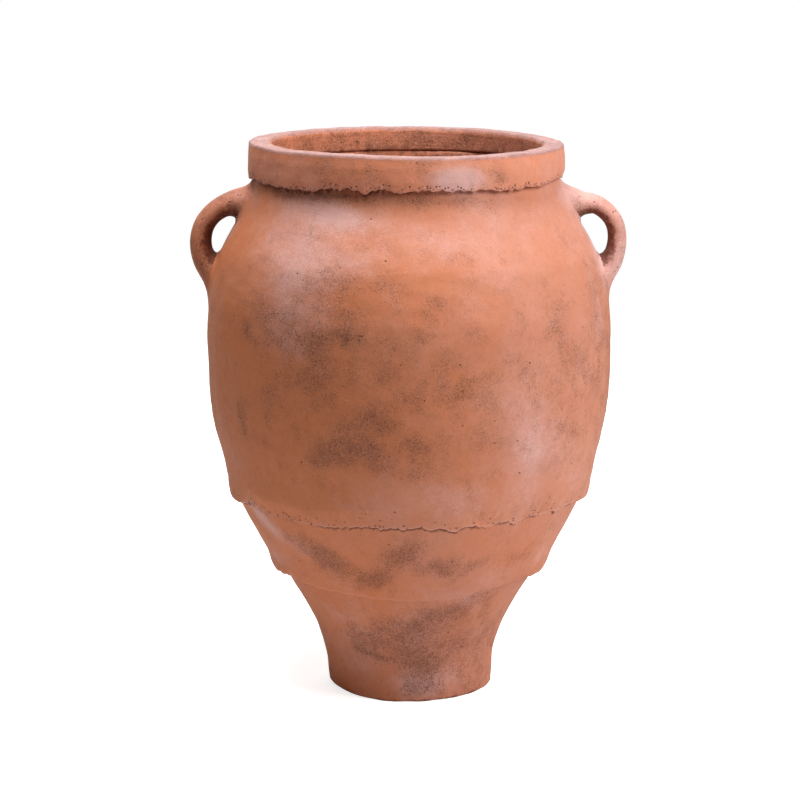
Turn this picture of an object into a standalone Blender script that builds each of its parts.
"""Tall clay garden pot, built up by hand from a foot, two sections, a collar and two pulled handles.

Metres, +Z up. The origin is the centre of the underside, on the ground, and the handles lie along X.
Each section's skirt hangs over the tongue of the section below it, as the clay is lapped when such
a pot is built up. An outline is a list of (radius, height) points about the Z axis.
"""

import math
from collections import namedtuple

import bmesh
import bpy

# Foot and floor
FOOT_RADIUS = 0.120          # outside of the foot at the ground
FOOT_HEIGHT = 0.168          # ground to the edge of the lower section's skirt
FOOT_LAP_RADIUS = 0.179      # outside of the foot where that skirt ends
FOOT_ROUNDING = 0.006        # worn edge at the ground
FLOOR_THICKNESS = 0.028      # base slab
SLAB_SEAT = 0.012            # how far the foot's wall stands over the slab's rim
DRAIN_RADIUS = 0.020         # hole through the slab
DRAIN_ROUNDING = 0.002       # softened edges of the hole

# Lower section
LOWER_HEIGHT = 0.117         # edge of its skirt to the edge of the belly's skirt
LOWER_SKIRT = 0.014          # how far its skirt's edge stands out from the foot
LOWER_ROUNDING = 0.010       # rounding of that edge
LOWER_LAP_RADIUS = 0.2495    # outside of the section where the belly's skirt ends

# Belly section, which turns in over the shoulder to the neck
BELLY_RADIUS = 0.2915        # widest ring of the pot
BELLY_RISE = 0.205           # edge of its skirt to the widest ring
BELLY_SKIRT = 0.011          # how far its skirt's edge stands out from the lower section
BELLY_ROUNDING = 0.004       # rounding of that edge
BELLY_LEAN = math.radians(8.4)   # how far the skirt leans out from upright
BELLY_PULL = (0.55, 0.54)    # fullness at the skirt and at the widest ring, as shares of the rise
SHOULDER_RISE = 0.260        # widest ring to the collar's edge
SHOULDER_PULL = (0.77, 0.23)     # fullness at the widest ring and at the neck, as shares of the rise

# Collar and mouth
MOUTH_RADIUS = 0.194
COLLAR_THICKNESS = 0.0315    # mouth to the collar's outside
COLLAR_HEIGHT = 0.050
COLLAR_SKIRT = 0.012         # thickness of the part that hangs outside the neck
COLLAR_LAP = 0.015           # how far the neck reaches up inside the collar
COLLAR_ROUNDING = 0.004      # rounding of its lower edge
LIP_ROUNDING = 0.008
SCALLOPS = 30                # thumbed waves round the collar's lower edge
SCALLOP_DEPTH = 0.006
SCALLOP_FADE = 0.014         # height over which the waves die out

# Walls and joints
WALL = 0.024                 # thickness of the pot's wall, measured level
LAP_DEPTH = 0.040            # how far a tongue reaches up inside the skirt above it
SKIRT_THICKNESS = 0.010      # skirt over the top of the tongue
CLEARANCE = 0.0003           # gap between touching pieces

# Handles
HANDLE_THICKNESS = 0.028     # radial, at the crest
HANDLE_WIDTH = 0.044         # across, at the crest
HANDLE_GAP = 0.0245          # finger room between the shoulder and the crest
HANDLE_TOP_MARGIN = 0.010    # upper root's top edge below the collar
HANDLE_CREST_DROP = 0.058    # upper root to the crest
HANDLE_SPAN = 0.156          # upper root to the lower end
UPPER_FLARE = 0.8            # extra thickness at the upper root, as a share of the thickness
LOWER_FLARE = 0.45           # extra thickness at the lower root, as a share of the thickness
FLARE_REACH = 0.028          # distance from the shoulder in which most of the flare dies out
ROOT_DEPTH = 0.025           # how deep in the wall the rod starts, before it is cut to the shoulder
UPPER_PULL = (0.65, 0.20)    # upper half's curve, as shares of the way to the crest, out and down
LOWER_PULL = (0.84, 0.60)    # lower half's curve, as shares of the way to its end, in and down
CREST_PULL = 0.21            # upright stretch under the crest, as a share of the way down

# Softened corners
ROUNDING_LIMIT = 0.45        # most of a corner's shorter side that its rounding may take
ROUNDING_PULL = 0.6          # fullness of the arc, as a share of the way to the corner

# Facets
TURN_STEPS = 64              # round a section
SCALLOP_STEPS = 4            # round one scallop of the collar
CURVE_STEPS = 6              # along the foot, and from the belly's skirt to its widest ring
SHOULDER_STEPS = 10          # from the widest ring to the neck
ARC_STEPS = 2                # round a softened corner
ROUTE_STEPS = 11             # along each half of a handle
HANDLE_SIDES = 16

# Sizes that follow from the others
BELLY_EDGE = FOOT_HEIGHT + LOWER_HEIGHT
WIDEST_HEIGHT = BELLY_EDGE + BELLY_RISE
COLLAR_EDGE = WIDEST_HEIGHT + SHOULDER_RISE
RIM_HEIGHT = COLLAR_EDGE + COLLAR_HEIGHT
COLLAR_RADIUS = MOUTH_RADIUS + COLLAR_THICKNESS
NECK_RADIUS = COLLAR_RADIUS - COLLAR_SKIRT
SLAB_RADIUS = FOOT_RADIUS - WALL + SLAB_SEAT

# A lap joint. The skirt ends at the edge, and the tongue's flat top runs from the tongue's radius
# in to the bore's.
Lap = namedtuple("Lap", "edge_radius edge_height tongue_radius bore_radius top")


def between(start, end, share):
    """The point or value that lies a share of the way from start to end."""
    if isinstance(start, tuple):
        return tuple(between(a, b, share) for a, b in zip(start, end))
    return start + (end - start) * share


def bezier(start, start_pull, end_pull, end, steps):
    """Points of the cubic curve from start to end, both ends included."""
    points = []
    for index in range(steps + 1):
        share = index / steps
        first = between(start, start_pull, share)
        middle = between(start_pull, end_pull, share)
        last = between(end_pull, end, share)
        points.append(between(between(first, middle, share), between(middle, last, share), share))
    return points


def rounded(corners):
    """Closed outline from (radius, height, rounding) corners, with the softened ones as arcs."""
    outline = []
    for index, (radius, height, rounding) in enumerate(corners):
        corner = (radius, height)
        if rounding == 0:
            outline.append(corner)
            continue
        ends = []
        for neighbour in (corners[index - 1], corners[(index + 1) % len(corners)]):
            share = min(rounding / math.dist(corner, neighbour[:2]), ROUNDING_LIMIT)
            ends.append(between(corner, neighbour[:2], share))
        pulls = [between(end, corner, ROUNDING_PULL) for end in ends]
        outline += bezier(ends[0], pulls[0], pulls[1], ends[1], ARC_STEPS)
    return outline


def plain(points):
    """Corners without rounding."""
    return [(radius, height, 0) for radius, height in points]


def radius_at(outline, height):
    """Radius of a rising outline at a height."""
    for low, high in zip(outline, outline[1:]):
        if height <= high[1]:
            break
    return between(low[0], high[0], (height - low[1]) / (high[1] - low[1]))


def inside(outline, lowest):
    """The wall's inner side behind an outline, above a height."""
    return [(radius - WALL, height) for radius, height in outline if height > lowest]


def foot_outside():
    """The foot flares like a parabola, upright at the ground."""
    shares = [index / CURVE_STEPS for index in range(CURVE_STEPS + 1)]
    return [(between(FOOT_RADIUS, FOOT_LAP_RADIUS, share ** 2), FOOT_HEIGHT * share)
            for share in shares]


def lower_outside():
    """The lower section is a plain cone."""
    return [(FOOT_LAP_RADIUS + LOWER_SKIRT, FOOT_HEIGHT), (LOWER_LAP_RADIUS, BELLY_EDGE)]


def belly_outside():
    """From the belly's skirt up to the widest ring."""
    edge = (LOWER_LAP_RADIUS + BELLY_SKIRT, BELLY_EDGE)
    rise = BELLY_RISE * BELLY_PULL[0]
    edge_pull = (edge[0] + rise * math.tan(BELLY_LEAN), BELLY_EDGE + rise)
    widest_pull = (BELLY_RADIUS, WIDEST_HEIGHT - BELLY_RISE * BELLY_PULL[1])
    return bezier(edge, edge_pull, widest_pull, (BELLY_RADIUS, WIDEST_HEIGHT), CURVE_STEPS)


def shoulder(widest_radius, neck_radius):
    """From the widest ring over the shoulder to the neck, upright at both ends."""
    widest_pull = (widest_radius, WIDEST_HEIGHT + SHOULDER_RISE * SHOULDER_PULL[0])
    neck_pull = (neck_radius, COLLAR_EDGE - SHOULDER_RISE * SHOULDER_PULL[1])
    return bezier((widest_radius, WIDEST_HEIGHT), widest_pull, neck_pull,
                  (neck_radius, COLLAR_EDGE), SHOULDER_STEPS)


def upper_outside():
    """The belly section's whole outside, from its skirt to the collar."""
    return belly_outside() + shoulder(BELLY_RADIUS, NECK_RADIUS)[1:]


def section_lap(outside, stand_off):
    """The joint below a section whose skirt's edge stands off from the piece it hangs over."""
    edge_radius, edge_height = outside[0]
    top = edge_height + LAP_DEPTH
    radius = radius_at(outside, top)
    return Lap(edge_radius - stand_off, edge_height, radius - SKIRT_THICKNESS, radius - WALL, top)


def collar_lap():
    """The joint between the neck and the collar, whose sides are upright."""
    return Lap(NECK_RADIUS, COLLAR_EDGE, NECK_RADIUS, MOUTH_RADIUS, COLLAR_EDGE + COLLAR_LAP)


def tongue(lap):
    """Corners of a piece's top, from its bore out and down to where the skirt above it ends."""
    return plain([(lap.bore_radius, lap.top),
                  (lap.tongue_radius, lap.top),
                  (lap.edge_radius, lap.edge_height)])


def seat(lap):
    """Corners of a piece's underside, from its skirt's inner edge up and in to its bore."""
    return plain([(lap.edge_radius + CLEARANCE, lap.edge_height),
                  (lap.tongue_radius + CLEARANCE, lap.top + CLEARANCE),
                  (lap.bore_radius, lap.top + CLEARANCE)])


def slab_outline():
    """Disc with the drain hole, inside the foot."""
    return rounded([(DRAIN_RADIUS, FLOOR_THICKNESS, DRAIN_ROUNDING),
                    (SLAB_RADIUS, FLOOR_THICKNESS, 0),
                    (SLAB_RADIUS, 0, 0),
                    (DRAIN_RADIUS, 0, DRAIN_ROUNDING)])


def foot_outline(lap_above):
    """Flaring ring that stands on the ground and over the slab's rim."""
    outside = foot_outside()
    ledge = FLOOR_THICKNESS + CLEARANCE
    corners = tongue(lap_above)
    corners += plain(reversed(outside[1:-1]))
    corners += [(FOOT_RADIUS, 0, FOOT_ROUNDING),
                (SLAB_RADIUS + CLEARANCE, 0, 0),
                (SLAB_RADIUS + CLEARANCE, ledge, 0),
                (radius_at(outside, ledge) - WALL, ledge, 0)]
    corners += plain(inside(outside, ledge))
    return rounded(corners)


def lower_outline(lap_below, lap_above):
    """Cone between the foot and the belly."""
    outside = lower_outside()
    corners = tongue(lap_above)
    corners += [(*outside[0], LOWER_ROUNDING)]
    corners += seat(lap_below)
    corners += plain(inside(outside, lap_below.top))
    return rounded(corners)


def belly_outline(lap_below, lap_above):
    """Belly, shoulder and neck in one wall."""
    outside = upper_outside()
    corners = tongue(lap_above)
    corners += plain(reversed(outside[1:-1]))
    corners += [(*outside[0], BELLY_ROUNDING)]
    corners += seat(lap_below)
    corners += plain(inside(belly_outside(), lap_below.top))
    corners += plain(shoulder(BELLY_RADIUS - WALL, MOUTH_RADIUS)[1:])
    return rounded(corners)


def collar_outline(lap_below):
    """Thick band round the mouth, whose skirt hangs outside the neck."""
    corners = [(MOUTH_RADIUS, RIM_HEIGHT, LIP_ROUNDING),
               (COLLAR_RADIUS, RIM_HEIGHT, LIP_ROUNDING),
               (COLLAR_RADIUS, COLLAR_EDGE + SCALLOP_FADE, 0),
               (COLLAR_RADIUS, COLLAR_EDGE, COLLAR_ROUNDING)]
    return rounded(corners + seat(lap_below))


def handle_cutter_outline():
    """Ring as wide as the belly section plus the clearance, which cuts the handles' seats."""
    bore = NECK_RADIUS / 2
    outside = [(radius + CLEARANCE, height) for radius, height in upper_outside()]
    return [(bore, COLLAR_EDGE), *reversed(outside), (bore, BELLY_EDGE)]


def handle_route():
    """Centre line of the handle at +X as (x, z) points, out of the shoulder, over and back in."""
    outside = upper_outside()
    top = COLLAR_EDGE - HANDLE_TOP_MARGIN - HANDLE_THICKNESS / 2 * (1 + UPPER_FLARE)
    crest = top - HANDLE_CREST_DROP
    end = top - HANDLE_SPAN
    top_x = radius_at(outside, top) - ROOT_DEPTH
    crest_x = radius_at(outside, crest) + HANDLE_GAP + HANDLE_THICKNESS / 2
    end_x = radius_at(outside, end) - ROOT_DEPTH
    upper = bezier((top_x, top), (between(top_x, crest_x, UPPER_PULL[0]), top),
                   (crest_x, between(top, crest, UPPER_PULL[1])), (crest_x, crest), ROUTE_STEPS)
    lower_pull = (between(crest_x, end_x, LOWER_PULL[0]), between(crest, end, LOWER_PULL[1]))
    lower = bezier((crest_x, crest), (crest_x, between(crest, end, CREST_PULL)),
                   lower_pull, (end_x, end), ROUTE_STEPS)
    return upper + lower[1:]


def clay(name, colour, roughness):
    """Principled material of one piece."""
    material = bpy.data.materials.new(name)
    material.use_nodes = True
    shader = material.node_tree.nodes["Principled BSDF"]
    shader.inputs["Base Color"].default_value = (*colour, 1.0)
    shader.inputs["Roughness"].default_value = roughness
    shader.inputs["Metallic"].default_value = 0.0
    return material


def new_collection(name):
    """Collection linked to the scene."""
    collection = bpy.data.collections.new(name)
    bpy.context.scene.collection.children.link(collection)
    return collection


def evaluated_mesh(piece):
    """Mesh of an object as its modifiers or its curve's bevel leave it."""
    graph = bpy.context.evaluated_depsgraph_get()
    return bpy.data.meshes.new_from_object(piece.evaluated_get(graph))


def turned(name, outline, seat_height, collection, steps=TURN_STEPS):
    """Closed outline turned about Z, with the object's origin on the axis at its seat."""
    points = [(radius, 0.0, height - seat_height) for radius, height in outline]
    edges = [(index, (index + 1) % len(points)) for index in range(len(points))]
    mesh = bpy.data.meshes.new(name)
    mesh.from_pydata(points, edges, [])
    piece = bpy.data.objects.new(name, mesh)
    piece.location.z = seat_height
    collection.objects.link(piece)
    screw = piece.modifiers.new("turn", "SCREW")
    screw.steps = steps
    screw.render_steps = steps
    screw.use_merge_vertices = True
    screw.merge_threshold = 0.00001
    return piece


def scallop(collar):
    """Lift the collar's lower edge in thumbed waves that die out up its side."""
    mesh = evaluated_mesh(collar)
    collar.modifiers.clear()
    collar.data = mesh
    for vertex in mesh.vertices:
        share = 1 - vertex.co.z / SCALLOP_FADE
        if share > 0:
            wave = 0.5 + 0.5 * math.cos(SCALLOPS * math.atan2(vertex.co.y, vertex.co.x))
            vertex.co.z += SCALLOP_DEPTH * share * wave
    mesh.shade_smooth()


def handle_rod():
    """Oval rod along the route, thicker where it spreads on to the shoulder."""
    outside = upper_outside()
    route = handle_route()
    curve = bpy.data.curves.new("handle_rod", "CURVE")
    curve.dimensions = "3D"
    curve.bevel_depth = HANDLE_THICKNESS / 2
    curve.bevel_resolution = HANDLE_SIDES // 2 - 2
    curve.use_fill_caps = True
    spline = curve.splines.new("POLY")
    spline.points.add(len(route) - 1)
    for index, (point, (x, z)) in enumerate(zip(spline.points, route)):
        stand_off = max(0.0, x - radius_at(outside, z))
        flare = UPPER_FLARE if index <= ROUTE_STEPS else LOWER_FLARE
        point.co = (x, 0.0, z, 1.0)
        point.radius = 1 + flare * math.exp(-(stand_off / FLARE_REACH) ** 2)
    rod = bpy.data.objects.new("handle_rod", curve)
    bpy.context.scene.collection.objects.link(rod)
    mesh = evaluated_mesh(rod)
    bpy.data.objects.remove(rod)
    for vertex in mesh.vertices:
        vertex.co.y *= HANDLE_WIDTH / HANDLE_THICKNESS
    welded = bmesh.new()
    welded.from_mesh(mesh)
    bmesh.ops.remove_doubles(welded, verts=welded.verts, dist=0.00001)
    welded.to_mesh(mesh)
    welded.free()
    mesh.shade_smooth()
    return mesh


def handle(name, rod, turn, cutter, collection):
    """Handle on one side of the pot, cut to seat on the shoulder."""
    piece = bpy.data.objects.new(name, rod.copy())
    piece.rotation_euler.z = turn
    collection.objects.link(piece)
    cut = piece.modifiers.new("seat", "BOOLEAN")
    cut.operation = "DIFFERENCE"
    cut.solver = "EXACT"
    cut.object = cutter
    return piece


def main():
    for old in list(bpy.data.objects):
        bpy.data.objects.remove(old)
    parts = new_collection("flower_pot")
    cutters = new_collection("cutters")
    axis = bpy.data.objects.new("pot_axis", None)
    parts.objects.link(axis)

    foot_joint = section_lap(lower_outside(), LOWER_SKIRT)
    belly_joint = section_lap(upper_outside(), BELLY_SKIRT)
    collar_joint = collar_lap()
    slab = turned("base_slab", slab_outline(), 0, parts)
    foot = turned("foot_section", foot_outline(foot_joint), 0, parts)
    lower = turned("lower_section", lower_outline(foot_joint, belly_joint), FOOT_HEIGHT, parts)
    belly = turned("belly_section", belly_outline(belly_joint, collar_joint), BELLY_EDGE, parts)
    collar = turned("rim_collar", collar_outline(collar_joint), COLLAR_EDGE, parts,
                    SCALLOPS * SCALLOP_STEPS)
    scallop(collar)

    cutter = turned("handle_cutter", handle_cutter_outline(), 0, cutters)
    cutter.hide_render = True
    cutter.display_type = "WIRE"
    rod = handle_rod()
    right = handle("handle_right", rod, 0, cutter, parts)
    left = handle("handle_left", rod, math.pi, cutter, parts)

    finishes = [(slab, (0.38, 0.15, 0.09), 0.90), (foot, (0.42, 0.16, 0.10), 0.85),
                (lower, (0.48, 0.18, 0.11), 0.82), (belly, (0.56, 0.22, 0.13), 0.78),
                (collar, (0.52, 0.20, 0.13), 0.80), (right, (0.58, 0.25, 0.17), 0.78),
                (left, (0.50, 0.20, 0.13), 0.82)]
    for piece, colour, roughness in finishes:
        piece.parent = axis
        piece.data.materials.append(clay(piece.name + "_clay", colour, roughness))


main()
